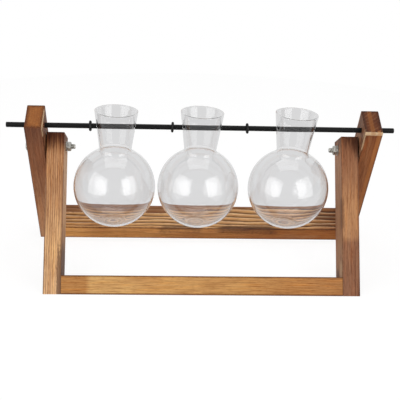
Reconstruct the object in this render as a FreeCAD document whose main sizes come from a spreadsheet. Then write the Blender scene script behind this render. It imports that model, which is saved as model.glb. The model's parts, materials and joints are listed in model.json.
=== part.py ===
import FreeCAD, Part
import os
import re
import Sketcher

# Hanging bulb vases on a crossed wooden stand, in millimetres.
# +X runs along the rod to the viewer's right, +Y away from the viewer, +Z up.
# The origin lies on the table, in the middle of the outline.
# Two wooden frames cross at a pair of pivot bolts. The front frame has two posts
# that lean back and a low front rail. The rear frame has two arms that lean
# forward, outside the posts, and a low rear rail. A steel rod lies through the
# arms near their tops, and three glass vases hang on it by holes in their necks.

Vector = FreeCAD.Vector

# Driving sizes: name, value, meaning. Lengths in millimetres, angles in degrees.
SIZES = (
    ("pivot_height", 117.5, "table to the axis of the pivot bolts"),
    ("front_lean_angle", 29.3, "posts lean back from upright"),
    ("rear_lean_angle", 26.4, "arms lean forward from upright"),
    ("stick_width", 16.9, "width of every post and arm, along X"),
    ("stick_depth", 31.0, "depth of every post and arm, front to back"),
    ("post_above_pivot", 11.3, "post top above the pivot, along the post"),
    ("arm_above_pivot", 39.7, "arm top above the pivot, along the arm"),
    ("front_rail_height", 18.0, "height of the front rail, along the posts"),
    ("rear_rail_height", 17.0, "height of the rear rail, along the arms"),
    ("front_rail_depth", 19.0, "depth of the front rail"),
    ("edge_round", 0.9, "eased long edges of the wood"),
    ("end_round", 0.6, "eased edges of the sawn top ends"),
    ("spacer_diameter", 12.0, "washer between post and arm"),
    ("spacer_thickness", 1.0, "washer between post and arm"),
    ("swing_gap", 0.15, "side play between the two frames at the pivot"),
    ("bolt_diameter", 5.0, "pivot bolt"),
    ("bolt_length", 45.0, "pivot bolt under its head"),
    ("bolt_chamfer", 0.5, "end of the pivot bolt"),
    ("bolt_head_diameter", 9.5, "domed head of the pivot bolt"),
    ("bolt_head_height", 2.8, "domed head of the pivot bolt"),
    ("bolt_head_rim", 0.9, "straight rim below the dome of that head"),
    ("bolt_fit", 0.08, "radial play of the bolt in wood and washers"),
    ("washer_diameter", 10.0, "washers under the nut and under the head"),
    ("washer_thickness", 1.0, "washers under the nut and under the head"),
    ("nut_flats", 8.0, "nut across its flats"),
    ("nut_thickness", 4.0, "nut along the bolt"),
    ("thread_fit", 0.03, "radial play of the nut on the bolt"),
    ("screw_diameter", 3.5, "shank of a rail screw"),
    ("screw_head_diameter", 7.0, "countersunk head of a rail screw"),
    ("screw_length", 32.0, "rail screw from head to tip"),
    ("screw_tip", 4.0, "pointed end of a rail screw"),
    ("screw_fit", 0.05, "radial play of a rail screw in the wood"),
    ("screw_drop", 5.0, "front rail screws below the top of that rail"),
    ("rod_diameter", 5.0, "hanging rod"),
    ("rod_left_overhang", 19.4, "hanging rod past the outer face of the left arm"),
    ("rod_right_overhang", 14.8, "hanging rod past the outer face of the right arm"),
    ("rod_below_arm_top", 11.1, "rod axis below the arm top, along the arm"),
    ("rod_chamfer", 0.6, "ends of the rod"),
    ("rod_fit", 0.1, "radial play of the rod in the arms"),
    ("ring_section", 2.6, "thickness of an O-ring"),
    ("ring_fit", 0.06, "radial play of an O-ring on the rod"),
    ("ring_left_reach", 24.2, "left O-ring to the left of the left neck's middle"),
    ("ring_middle_reach", 27.8, "middle O-ring to the left of the middle neck's middle"),
    ("ring_right_reach", 43.9, "right O-ring to the right of the middle neck's middle"),
    ("left_side_gap", 7.3, "left post to the ball of the left vase"),
    ("left_ball_gap", 1.9, "between the balls of the left and middle vases"),
    ("right_ball_gap", 9.3, "between the balls of the middle and right vases"),
    ("right_side_gap", 9.0, "ball of the right vase to the right post"),
    ("vase_left_lean_angle", 1.9, "sideways lean of the left vase"),
    ("vase_middle_lean_angle", 1.7, "sideways lean of the middle vase"),
    ("vase_right_lean_angle", 2.7, "sideways lean of the right vase"),
    ("bulb_diameter", 80.0, "ball of the vase, outside"),
    ("glass_wall", 2.0, "glass all over"),
    ("base_wall", 2.8, "glass over the dimple of the base"),
    ("base_diameter", 24.0, "flat ring that the vase stands on"),
    ("base_dimple", 1.5, "depth of the dimple inside that ring"),
    ("rim_above_centre", 77.3, "rim above the centre of the ball"),
    ("mouth_diameter", 41.6, "rim, outside"),
    ("neck_base_diameter", 29.5, "neck where its side would meet the ball"),
    ("neck_blend", 5.0, "outside radius between neck and ball"),
    ("vase_hole_diameter", 8.0, "holes through the neck for the rod"),
    ("hole_above_centre", 60.3, "those holes above the centre of the ball"),
    ("hang_gap", 0.1, "top of the rod to the top of the hole on it"),
    ("overrun", 2.0, "how far a cutting shape passes the face it cuts"),
)

# Shares that follow other sizes.
SHARES = (
    ("rim_round_share", 0.46, "rounding of the rim, of the glass wall"),
    ("front_screw_share", 0.27, "first screw from a rail's front, of its depth"),
    ("rear_screw_share", 0.73, "second screw from a rail's front, of its depth"),
    ("nut_chamfer_share", 0.95, "bearing circle of a nut, of its flats"),
)

# Values worked out in the sheet, from the driving sizes.
DERIVED = (
    ("half_depth", "stick_depth / 2"),
    ("post_foot_front", "(pivot_height + half_depth * sin(front_lean_angle)) / cos(front_lean_angle)"),
    ("post_foot_back", "(pivot_height - half_depth * sin(front_lean_angle)) / cos(front_lean_angle)"),
    ("arm_foot_front", "(pivot_height - half_depth * sin(rear_lean_angle)) / cos(rear_lean_angle)"),
    ("arm_foot_back", "(pivot_height + half_depth * sin(rear_lean_angle)) / cos(rear_lean_angle)"),
    ("reach_front", "post_foot_front * sin(front_lean_angle) + half_depth * cos(front_lean_angle)"),
    ("reach_back", "arm_foot_back * sin(rear_lean_angle) + half_depth * cos(rear_lean_angle)"),
    ("pivot_place", "(reach_front - reach_back) / 2"),
    ("ball_gaps", "left_side_gap + left_ball_gap + right_ball_gap + right_side_gap"),
    ("post_inner_face", "(3 * bulb_diameter + ball_gaps) / 2"),
    ("post_outer_face", "post_inner_face + stick_width"),
    ("arm_inner_face", "post_outer_face + spacer_thickness + swing_gap"),
    ("arm_outer_face", "arm_inner_face + stick_width"),
    ("front_rail_top", "post_foot_front - front_rail_height"),
    ("front_rail_back", "front_rail_depth - half_depth"),
    ("front_rail_foot_back",
     "(pivot_height - front_rail_back * sin(front_lean_angle)) / cos(front_lean_angle)"),
    ("rear_rail_top", "arm_foot_front - rear_rail_height"),
    ("head_depth", "(screw_head_diameter - screw_diameter) / 2"),
    ("rod_length", "2 * arm_outer_face + rod_left_overhang + rod_right_overhang"),
    ("rod_shift", "(rod_left_overhang - rod_right_overhang) / 2"),
    ("rod_above_pivot", "arm_above_pivot - rod_below_arm_top"),
    ("rod_place", "pivot_place - rod_above_pivot * sin(rear_lean_angle)"),
    ("rod_height", "pivot_height + rod_above_pivot * cos(rear_lean_angle)"),
    ("ball_left_place", "bulb_diameter / 2 + left_side_gap - post_inner_face"),
    ("ball_middle_place", "ball_left_place + bulb_diameter + left_ball_gap"),
    ("ball_right_place", "post_inner_face - right_side_gap - bulb_diameter / 2"),
    ("neck_left_place", "ball_left_place + hole_above_centre * sin(vase_left_lean_angle)"),
    ("neck_middle_place", "ball_middle_place + hole_above_centre * sin(vase_middle_lean_angle)"),
    ("ring_left_place", "neck_left_place - ring_left_reach"),
    ("ring_middle_place", "neck_middle_place - ring_middle_reach"),
    ("ring_right_place", "neck_middle_place + ring_right_reach"),
    ("ring_radius", "rod_diameter / 2 + ring_fit + ring_section / 2"),
    ("hole_level", "rod_height - vase_hole_diameter / 2 + rod_diameter / 2 + hang_gap"),
    ("bulb_radius", "bulb_diameter / 2"),
    ("bulb_hollow_radius", "bulb_radius - glass_wall"),
    ("base_radius", "base_diameter / 2"),
    ("base_below_centre", "sqrt(bulb_radius * bulb_radius - base_radius * base_radius)"),
    ("dimple_below_centre", "base_below_centre - base_dimple"),
    ("floor_below_centre", "dimple_below_centre - base_wall"),
)

doc = FreeCAD.newDocument("HangingVases")
sheet = doc.addObject("Spreadsheet::Sheet", "Sizes")
aliases = {entry[0] for entry in SIZES + SHARES + DERIVED}
nodes = []


def fill_sheet():
    """Write every size, share and derived value, each under its alias."""
    rows = [(name, str(value), meaning) for name, value, meaning in SIZES + SHARES]
    rows += [(name, "=" + formula, "worked out") for name, formula in DERIVED]
    for row, (name, content, meaning) in enumerate(rows, 1):
        sheet.set("A%d" % row, name)
        sheet.set("B%d" % row, content)
        sheet.set("C%d" % row, meaning)
        sheet.setAlias("B%d" % row, name)
    doc.recompute()


def in_sheet(formula):
    """Put the sheet's name before each alias in a formula."""
    return re.sub(r"[a-z_]+", lambda word: ("Sizes." if word.group() in aliases else "") + word.group(), formula)


def value(formula):
    """Work out a formula of the sheet."""
    return float(sheet.evalExpression(in_sheet(formula)))


def bind(piece, prop, formula):
    """Tie a property to a formula of the sheet."""
    piece.setExpression(prop, in_sheet(formula))


def place(piece, along, depth, height, axis="1; 0; 0", turn="0"):
    """Tie a piece's placement: where its own origin lies, and its turn about an axis."""
    spot = "vector(%s; %s; %s)" % (along, depth, height)
    bind(piece, "Placement", "placement(%s; rotation(vector(%s); %s))" % (spot, axis, turn))


def add_node(piece, label):
    """Label a finished piece with the name of its node."""
    piece.Label = label
    nodes.append(piece)
    return piece


def new_sketch(body, role, name):
    """Attach a sketch to one of the body's own origin planes."""
    plane = next(item for item in body.Origin.OriginFeatures if item.Role == role)
    sketch = body.newObject("Sketcher::SketchObject", name)
    sketch.AttachmentSupport = [(plane, "")]
    sketch.MapMode = "FlatFace"
    return sketch


def fix_point(sketch, point, across, up):
    """Hold a point of a sketch at two formulas, measured from the sketch's origin."""
    for kind, formula, axis in (("DistanceX", across, -2), ("DistanceY", up, -1)):
        gap = value(formula)
        if formula == "0":
            sketch.addConstraint(Sketcher.Constraint("PointOnObject", *point, axis))
            continue
        ends = (-1, 1) + point if gap > 0 else point + (-1, 1)
        number = sketch.addConstraint(Sketcher.Constraint(kind, *ends, abs(gap)))
        bind(sketch, "Constraints[%d]" % number, formula if gap > 0 else "-(%s)" % formula)


def add_outline(sketch, corners):
    """Draw a closed outline of straight lines with its corners at pairs of formulas."""
    points = [Vector(value(across), value(up), 0) for across, up in corners]
    for start, end in zip(points, points[1:] + points[:1]):
        sketch.addGeometry(Part.LineSegment(start, end))
    for line, (across, up) in enumerate(corners):
        sketch.addConstraint(Sketcher.Constraint("Coincident", line, 2, (line + 1) % len(corners), 1))
        fix_point(sketch, (line, 1), across, up)


def add_circle(sketch, across, up, diameter):
    """Draw a circle with its centre and its diameter at formulas."""
    centre = Vector(value(across), value(up), 0)
    circle = sketch.addGeometry(Part.Circle(centre, Vector(0, 0, 1), value(diameter) / 2))
    fix_point(sketch, (circle, 3), across, up)
    number = sketch.addConstraint(Sketcher.Constraint("Diameter", circle, value(diameter)))
    bind(sketch, "Constraints[%d]" % number, diameter)


def add_pad(body, sketch, length):
    """Pad a sketch along its normal."""
    pad = body.newObject("PartDesign::Pad", body.Name + "_pad")
    pad.Profile = sketch
    bind(pad, "Length", length)
    doc.recompute()
    return pad


def add_turning(body, sketch, axis):
    """Turn a half section once round one of its sketch's axes."""
    turning = body.newObject("PartDesign::Revolution", body.Name + "_turning")
    turning.Profile = sketch
    turning.ReferenceAxis = (sketch, [axis])
    doc.recompute()
    return turning


def dress(body, kind, prop, formula, wanted):
    """Fillet or chamfer the edges of the body's last feature for which a test holds."""
    base = body.Tip
    names = ["Edge%d" % (index + 1) for index, edge in enumerate(base.Shape.Edges) if wanted(edge)]
    feature = body.newObject("PartDesign::" + kind, body.Name + "_" + kind.lower())
    feature.Base = (base, names)
    bind(feature, prop, formula)
    doc.recompute()


def lies_at(edge, height, tolerance=0.001):
    """True for an edge that lies wholly at one height of its body."""
    box = edge.BoundBox
    return abs(box.ZMin - height) < tolerance and abs(box.ZMax - height) < tolerance


def is_upright(edge, tolerance=0.001):
    """True for a straight edge along its body's own height."""
    box = edge.BoundBox
    return box.XLength < tolerance and box.YLength < tolerance


def drill(body, name, spots, diameter, depth=None, head=None, from_far="0"):
    """Drill round holes along X, from the near face or from one further along X."""
    sketch = new_sketch(body, "YZ_Plane", name)
    bind(sketch, "AttachmentOffset.Base.z", from_far)
    for across, up in spots:
        add_circle(sketch, across, up, diameter)
    doc.recompute()
    hole = body.newObject("PartDesign::Hole", name + "_holes")
    hole.Profile = sketch
    hole.Reversed = from_far == "0"
    hole.DepthType = "Dimension" if depth else "ThroughAll"
    doc.recompute()
    bind(hole, "Diameter", diameter)
    if depth:
        hole.DrillPoint = "Flat"
        bind(hole, "Depth", depth)
    if head:
        hole.HoleCutType = "Countersink"
        hole.HoleCutCustomValues = True
        hole.HoleCutCountersinkAngle = 90
        bind(hole, "HoleCutDiameter", head)
    doc.recompute()


def stick(label, above_pivot, foot_front, foot_back):
    """A post or an arm in its own frame: pivot at the origin, foot cut flat to the table."""
    body = doc.addObject("PartDesign::Body", label)
    side = new_sketch(body, "YZ_Plane", label + "_side")
    add_outline(side, [
        ("-half_depth", above_pivot),
        ("half_depth", above_pivot),
        ("half_depth", "-" + foot_back),
        ("-half_depth", "-" + foot_front),
    ])
    add_pad(body, side, "stick_width")
    dress(body, "Fillet", "Radius", "edge_round", is_upright)
    dress(body, "Fillet", "Radius", "end_round", lambda edge: lies_at(edge, value(above_pivot)))
    return body


def screw_spots(rail_depth, rail_top, drop):
    """The two places of a rail's screws, across and up in a stick's own frame."""
    shares = ("front_screw_share", "rear_screw_share")
    return [("%s * %s - half_depth" % (rail_depth, share), "-(%s + %s)" % (rail_top, drop)) for share in shares]


FRONT_SPOTS = screw_spots("front_rail_depth", "front_rail_top", "screw_drop")
REAR_SPOTS = screw_spots("stick_depth", "rear_rail_top", "rear_rail_height / 2")
SCREW_HOLE = "screw_diameter + 2 * screw_fit"
SCREW_SEAT = "screw_head_diameter + 2 * screw_fit"
BOLT_HOLE = "bolt_diameter + 2 * bolt_fit"


def make_posts():
    """Front left and right posts, bored for the pivot bolt and the rail's screws."""
    for label, along, far in (
        ("front_left_post", "rod_shift - post_outer_face", "0"),
        ("front_right_post", "rod_shift + post_inner_face", "stick_width"),
    ):
        body = add_node(stick(label, "post_above_pivot", "post_foot_front", "post_foot_back"), label)
        drill(body, label + "_pivot", [("0", "0")], BOLT_HOLE)
        drill(body, label + "_screws", FRONT_SPOTS, SCREW_HOLE, head=SCREW_SEAT, from_far=far)
        place(body, along, "pivot_place", "pivot_height", turn="-front_lean_angle")


def make_arms():
    """Rear left and right arms, bored for the pivot bolt, the rod and the rail's screws."""
    for label, along, far in (
        ("rear_left_arm", "rod_shift - arm_outer_face", "0"),
        ("rear_right_arm", "rod_shift + arm_inner_face", "stick_width"),
    ):
        body = add_node(stick(label, "arm_above_pivot", "arm_foot_front", "arm_foot_back"), label)
        drill(body, label + "_pivot", [("0", "0")], BOLT_HOLE)
        drill(body, label + "_rod", [("0", "rod_above_pivot")], "rod_diameter + 2 * rod_fit")
        drill(body, label + "_screws", REAR_SPOTS, SCREW_HOLE, head=SCREW_SEAT, from_far=far)
        place(body, along, "pivot_place", "pivot_height", turn="rear_lean_angle")


def make_rail(label, corners, half_length, spots, lean):
    """A rail between two sticks, in their frame, with a blind screw hole pair in each end."""
    body = doc.addObject("PartDesign::Body", label)
    section = new_sketch(body, "YZ_Plane", label + "_section")
    add_outline(section, corners)
    length = "2 * " + half_length
    add_pad(body, section, length)
    grip = "screw_length - stick_width + screw_fit"
    drill(body, label + "_left", spots, SCREW_HOLE, depth=grip)
    drill(body, label + "_right", spots, SCREW_HOLE, depth=grip, from_far=length)
    place(body, "rod_shift - " + half_length, "pivot_place", "pivot_height", turn=lean)
    add_node(body, label)


def make_rails():
    """The front rail, its underside cut flat to the table, and the square rear rail."""
    front_rail = [
        ("-half_depth", "-front_rail_top"),
        ("front_rail_back", "-front_rail_top"),
        ("front_rail_back", "-front_rail_foot_back"),
        ("-half_depth", "-post_foot_front"),
    ]
    rear_rail = [
        ("-half_depth", "-rear_rail_top"),
        ("half_depth", "-rear_rail_top"),
        ("half_depth", "-arm_foot_front"),
        ("-half_depth", "-arm_foot_front"),
    ]
    make_rail("front_rail", front_rail, "post_inner_face", FRONT_SPOTS, "-front_lean_angle")
    make_rail("rear_rail", rear_rail, "arm_inner_face", REAR_SPOTS, "rear_lean_angle")


def make_screw(name, place_of_head, spot, lean, inward):
    """One countersunk wood screw that points inward along X from the face of a stick."""
    body = doc.addObject("PartDesign::Body", name)
    half = new_sketch(body, "XZ_Plane", name + "_half")
    add_outline(half, [
        ("0", "0"),
        ("0", "screw_head_diameter / 2"),
        ("head_depth", "screw_diameter / 2"),
        ("screw_length - screw_tip", "screw_diameter / 2"),
        ("screw_length", "0"),
    ])
    add_turning(body, half, "H_Axis")
    across, up = spot
    depth = "pivot_place + (%s) * cos(%s) - (%s) * sin(%s)" % (across, lean, up, lean)
    height = "pivot_height + (%s) * sin(%s) + (%s) * cos(%s)" % (across, lean, up, lean)
    place(body, place_of_head, depth, height, axis="0; 0; 1", turn="0" if inward > 0 else "180")
    return body


def make_rail_screws():
    """The four screws of each rail, as one node of separate solids."""
    for label, face, spots, lean in (
        ("front_rail_screws", "post_outer_face", FRONT_SPOTS, "(-front_lean_angle)"),
        ("rear_rail_screws", "arm_outer_face", REAR_SPOTS, "(rear_lean_angle)"),
    ):
        screws = []
        for number, spot in enumerate(spots, 1):
            left = "%s_left_%d" % (label, number)
            right = "%s_right_%d" % (label, number)
            screws.append(make_screw(left, "rod_shift - " + face, spot, lean, 1))
            screws.append(make_screw(right, "rod_shift + " + face, spot, lean, -1))
        group = doc.addObject("Part::Compound", label)
        group.Links = screws
        add_node(group, label)


def make_bolt(label, along, turn):
    """A pivot bolt along its own X, with a domed head outside the arm."""
    body = doc.addObject("PartDesign::Body", label)
    half = new_sketch(body, "XZ_Plane", label + "_half")
    radius = "bolt_diameter / 2"
    head_radius = "bolt_head_diameter / 2"
    corners = [
        ("-bolt_head_rim", head_radius),
        ("0", head_radius),
        ("0", radius),
        ("bolt_length - bolt_chamfer", radius),
        ("bolt_length", radius + " - bolt_chamfer"),
        ("bolt_length", "0"),
        ("-bolt_head_height", "0"),
    ]
    points = [Vector(value(across), value(up), 0) for across, up in corners]
    for start, end in zip(points, points[1:]):
        half.addGeometry(Part.LineSegment(start, end))
    for line in range(len(corners) - 2):
        half.addConstraint(Sketcher.Constraint("Coincident", line, 2, line + 1, 1))
    for line, (across, up) in enumerate(corners[:-1]):
        fix_point(half, (line, 1), across, up)
    fix_point(half, (len(corners) - 2, 2), *corners[-1])
    dome_arc(half, points[-1], points[0], (len(corners) - 2, 2), (0, 1))
    add_turning(body, half, "H_Axis")
    place(body, along, "pivot_place", "pivot_height", axis="0; 0; 1", turn=turn)
    add_node(body, label)


def dome_arc(sketch, crown, edge, crown_end, edge_end):
    """An arc from an edge to a crown on the level axis, square to that axis at the crown."""
    run = edge.x - crown.x
    radius = (edge.y ** 2 + run ** 2) / (2 * run)
    centre = Vector(crown.x + radius, 0, 0)
    halfway = (crown + edge) / 2 - centre
    arc = sketch.addGeometry(Part.Arc(edge, centre + halfway.normalize() * radius, crown))
    sketch.addConstraint(Sketcher.Constraint("Coincident", arc, 1, *edge_end))
    sketch.addConstraint(Sketcher.Constraint("Coincident", arc, 2, *crown_end))
    sketch.addConstraint(Sketcher.Constraint("PointOnObject", arc, 3, -1))


def make_washer(label, along, diameter, thickness):
    """A flat washer round the pivot axis, from its left face."""
    body = doc.addObject("PartDesign::Body", label)
    face = new_sketch(body, "YZ_Plane", label + "_face")
    add_circle(face, "0", "0", diameter)
    add_circle(face, "0", "0", BOLT_HOLE)
    add_pad(body, face, thickness)
    place(body, along, "pivot_place", "pivot_height")
    add_node(body, label)


def make_nut(label, along):
    """A hexagon nut round the pivot axis, chamfered on both faces, from its left face."""
    blank = doc.addObject("Part::Prism", label + "_blank")
    blank.Polygon = 6
    bind(blank, "Circumradius", "nut_flats / 2 / cos(30)")
    bind(blank, "Height", "nut_thickness")
    bearing = "nut_flats / 2 * nut_chamfer_share"
    spread = bearing + " + nut_thickness / tan(30)"
    shape = blank
    for side, low, high in (("lower", bearing, spread), ("upper", spread, bearing)):
        cone = doc.addObject("Part::Cone", "%s_%s_cone" % (label, side))
        bind(cone, "Radius1", low)
        bind(cone, "Radius2", high)
        bind(cone, "Height", "nut_thickness")
        common = doc.addObject("Part::Common", "%s_%s" % (label, side))
        common.Base = shape
        common.Tool = cone
        shape = common
    bore = doc.addObject("Part::Cylinder", label + "_bore")
    bind(bore, "Radius", "bolt_diameter / 2 + thread_fit")
    bind(bore, "Height", "nut_thickness + 2 * overrun")
    place(bore, "0", "0", "-overrun")
    nut = doc.addObject("Part::Cut", label)
    nut.Base = shape
    nut.Tool = bore
    place(nut, along, "pivot_place", "pivot_height", axis="0; 1; 0", turn="90")
    add_node(nut, label)


def make_pivots():
    """Both pivots: bolt from outside, washer, arm, spacer, post, washer and nut."""
    nut_gap = "swing_gap"
    inner_left = "rod_shift - post_inner_face + " + nut_gap
    inner_right = "rod_shift + post_inner_face - washer_thickness - " + nut_gap
    make_bolt("left_pivot_bolt", "rod_shift - arm_outer_face - washer_thickness", "0")
    make_bolt("right_pivot_bolt", "rod_shift + arm_outer_face + washer_thickness", "180")
    make_washer("left_head_washer", "rod_shift - arm_outer_face - washer_thickness",
                "washer_diameter", "washer_thickness")
    make_washer("right_head_washer", "rod_shift + arm_outer_face", "washer_diameter", "washer_thickness")
    make_washer("left_spacer_washer", "rod_shift - arm_inner_face", "spacer_diameter", "spacer_thickness")
    make_washer("right_spacer_washer", "rod_shift + arm_inner_face - spacer_thickness",
                "spacer_diameter", "spacer_thickness")
    make_washer("left_nut_washer", inner_left, "washer_diameter", "washer_thickness")
    make_washer("right_nut_washer", inner_right, "washer_diameter", "washer_thickness")
    make_nut("left_pivot_nut", inner_left + " + washer_thickness")
    make_nut("right_pivot_nut", inner_right + " - nut_thickness")


def make_rod():
    """The straight hanging rod, through both arms."""
    body = doc.addObject("PartDesign::Body", "hanging_rod")
    section = new_sketch(body, "YZ_Plane", "rod_section")
    add_circle(section, "0", "0", "rod_diameter")
    add_pad(body, section, "rod_length")
    dress(body, "Chamfer", "Size", "rod_chamfer", lambda edge: edge.BoundBox.XLength < value("rod_chamfer"))
    place(body, "-rod_length / 2", "rod_place", "rod_height")
    add_node(body, "hanging_rod")


def make_rings():
    """The rubber O-rings on the rod."""
    for side in ("left", "middle", "right"):
        label = "o_ring_" + side
        ring = doc.addObject("Part::Torus", label)
        bind(ring, "Radius1", "ring_radius")
        bind(ring, "Radius2", "ring_section / 2")
        place(ring, "rod_shift + ring_%s_place" % side, "rod_place", "rod_height", axis="0; 1; 0", turn="90")
        add_node(ring, label)


def vase_section(body):
    """Half section of a vase, upright, with the centre of its ball at the origin."""
    section = new_sketch(body, "XZ_Plane", body.Name + "_section")
    neck_outer = ("mouth_diameter / 2", "rim_above_centre")
    neck_inner = ("mouth_diameter / 2 - glass_wall", "rim_above_centre")
    joint_outer = value("neck_base_diameter / 2")
    joint_inner = value("neck_base_diameter / 2 - glass_wall")
    outer = value("bulb_radius")
    inner = value("bulb_hollow_radius")
    base = value("base_radius")
    at = {
        "dimple": Vector(0, -value("dimple_below_centre"), 0),
        "base_outer": Vector(base, -value("base_below_centre"), 0),
        "joint_outer": Vector(joint_outer, (outer ** 2 - joint_outer ** 2) ** 0.5, 0),
        "rim_outer": Vector(value(neck_outer[0]), value(neck_outer[1]), 0),
        "rim_inner": Vector(value(neck_inner[0]), value(neck_inner[1]), 0),
        "joint_inner": Vector(joint_inner, (inner ** 2 - joint_inner ** 2) ** 0.5, 0),
        "base_inner": Vector(base, -(inner ** 2 - base ** 2) ** 0.5, 0),
        "floor": Vector(0, -value("floor_below_centre"), 0),
    }
    lines = {}
    for start, end in (("joint_outer", "rim_outer"), ("rim_outer", "rim_inner"),
                       ("rim_inner", "joint_inner"), ("floor", "dimple")):
        lines[start] = section.addGeometry(Part.LineSegment(at[start], at[end]))
    ball_outer = section.addGeometry(Part.Arc(at["base_outer"], Vector(outer, 0, 0), at["joint_outer"]))
    ball_inner = section.addGeometry(Part.Arc(at["base_inner"], Vector(inner, 0, 0), at["joint_inner"]))
    arcs = [base_arc(section, at["dimple"], at["base_outer"]), base_arc(section, at["floor"], at["base_inner"])]
    for first, second in (
        ((lines["joint_outer"], 2), (lines["rim_outer"], 1)),
        ((lines["rim_outer"], 2), (lines["rim_inner"], 1)),
        ((ball_outer, 2), (lines["joint_outer"], 1)),
        ((ball_inner, 2), (lines["rim_inner"], 2)),
        ((arcs[0], 2), (lines["floor"], 2)),
        ((arcs[0], 1), (ball_outer, 1)),
        ((arcs[1], 2), (lines["floor"], 1)),
        ((arcs[1], 1), (ball_inner, 1)),
        ((ball_outer, 3), (-1, 1)),
        ((ball_inner, 3), (-1, 1)),
    ):
        section.addConstraint(Sketcher.Constraint("Coincident", *first, *second))
    for arc in arcs:
        section.addConstraint(Sketcher.Constraint("PointOnObject", arc, 3, -2))
    fix_point(section, (lines["rim_outer"], 1), *neck_outer)
    fix_point(section, (lines["rim_outer"], 2), *neck_inner)
    fix_point(section, (lines["floor"], 1), "0", "-floor_below_centre")
    fix_point(section, (lines["floor"], 2), "0", "-dimple_below_centre")
    for arc, radius in ((ball_outer, "bulb_radius"), (ball_inner, "bulb_hollow_radius")):
        number = section.addConstraint(Sketcher.Constraint("Radius", arc, value(radius)))
        bind(section, "Constraints[%d]" % number, radius)
    for point, across in (
        ((lines["joint_outer"], 1), "neck_base_diameter / 2"),
        ((lines["rim_inner"], 2), "neck_base_diameter / 2 - glass_wall"),
        ((ball_outer, 1), "base_radius"),
        ((ball_inner, 1), "base_radius"),
    ):
        number = section.addConstraint(Sketcher.Constraint("DistanceX", -1, 1, *point, value(across)))
        bind(section, "Constraints[%d]" % number, across)
    return section


def base_arc(sketch, crown, edge):
    """An arc from an edge up to a crown on the upright axis, level at the crown."""
    rise = crown.y - edge.y
    radius = (edge.x ** 2 + rise ** 2) / (2 * rise)
    centre = Vector(0, crown.y - radius, 0)
    halfway = (crown + edge) / 2 - centre
    return sketch.addGeometry(Part.Arc(edge, centre + halfway.normalize() * radius, crown))


def make_vase(side):
    """One blown vase: a ball with a flared neck, drilled through for the rod."""
    label = "vase_" + side
    lean = label + "_lean_angle"
    body = doc.addObject("PartDesign::Body", label)
    add_turning(body, vase_section(body), "V_Axis")
    outer_joint = value("neck_base_diameter / 2")
    inner_joint = outer_joint - value("glass_wall")
    rim = value("rim_above_centre")
    dress(body, "Fillet", "Radius", "neck_blend", lambda edge: is_ring(edge, outer_joint))
    dress(body, "Fillet", "Radius", "neck_blend + glass_wall", lambda edge: is_ring(edge, inner_joint))
    dress(body, "Fillet", "Radius", "glass_wall * rim_round_share", lambda edge: lies_at(edge, rim))
    bore = new_sketch(body, "YZ_Plane", label + "_bore")
    tilt = "placement(vector(0; hole_above_centre; 0); rotation(vector(1; 0; 0); -%s))" % lean
    bind(bore, "AttachmentOffset", tilt)
    add_circle(bore, "0", "0", "vase_hole_diameter")
    pocket = body.newObject("PartDesign::Pocket", label + "_holes")
    pocket.Profile = bore
    pocket.SideType = "Symmetric"
    bind(pocket, "Length", "mouth_diameter + 2 * overrun")
    doc.recompute()
    place(body, "rod_shift + ball_%s_place" % side, "rod_place",
          "hole_level - hole_above_centre * cos(%s)" % lean, axis="0; 1; 0", turn=lean)
    add_node(body, label)


def is_ring(edge, radius, tolerance=0.001):
    """True for a level circle of this radius above the middle of a vase's ball."""
    box = edge.BoundBox
    return box.ZMin > 0 and box.ZLength < tolerance and abs(box.XLength / 2 - radius) < tolerance


def check_document():
    """Stop when any object failed or any node has no sound shape."""
    for item in doc.Objects:
        if "Invalid" in item.State or "Error" in item.State:
            raise RuntimeError("failed object: " + item.Label)
    for piece in nodes:
        if piece.Shape.isNull() or not piece.Shape.isValid():
            raise RuntimeError("no sound shape: " + piece.Label)


def export_nodes():
    """Write one STEP file for each node and print what it holds."""
    os.makedirs("parts", exist_ok=True)
    for piece in nodes:
        piece.Shape.exportStep("parts/%s.step" % piece.Label)
        print("%-22s solids %d  volume %9.1f" % (piece.Label, len(piece.Shape.Solids), piece.Shape.Volume))


fill_sheet()
make_posts()
make_rails()
make_arms()
make_rail_screws()
make_pivots()
make_rod()
make_rings()
for name_of_side in ("left", "middle", "right"):
    make_vase(name_of_side)
doc.recompute()
check_document()
export_nodes()
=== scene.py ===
import json
import math

import bmesh
import bpy
from mathutils import Matrix, Vector, noise


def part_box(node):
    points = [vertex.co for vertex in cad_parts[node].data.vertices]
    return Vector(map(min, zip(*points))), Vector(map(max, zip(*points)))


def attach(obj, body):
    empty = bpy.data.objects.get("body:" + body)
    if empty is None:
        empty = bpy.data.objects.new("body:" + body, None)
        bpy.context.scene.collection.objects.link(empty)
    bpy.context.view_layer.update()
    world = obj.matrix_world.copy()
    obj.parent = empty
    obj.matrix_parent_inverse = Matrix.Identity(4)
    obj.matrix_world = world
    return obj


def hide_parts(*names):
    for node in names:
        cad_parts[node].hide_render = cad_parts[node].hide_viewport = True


# Three glass bulb vases hang on a black rod in a folding wooden stand.
# Metres. +X runs along the rod to the viewer's right, +Y away from the viewer, +Z up.

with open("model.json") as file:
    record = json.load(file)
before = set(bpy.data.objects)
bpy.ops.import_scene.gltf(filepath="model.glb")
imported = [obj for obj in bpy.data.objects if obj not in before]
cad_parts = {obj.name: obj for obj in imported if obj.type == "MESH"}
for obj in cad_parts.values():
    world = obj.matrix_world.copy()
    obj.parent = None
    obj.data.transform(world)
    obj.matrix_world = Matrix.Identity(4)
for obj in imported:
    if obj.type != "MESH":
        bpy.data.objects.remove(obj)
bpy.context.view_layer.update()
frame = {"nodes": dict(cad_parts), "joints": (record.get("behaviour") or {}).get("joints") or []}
JOINTS = {joint["name"]: joint for joint in frame["joints"]}
SIDES = ("left", "middle", "right")

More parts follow.
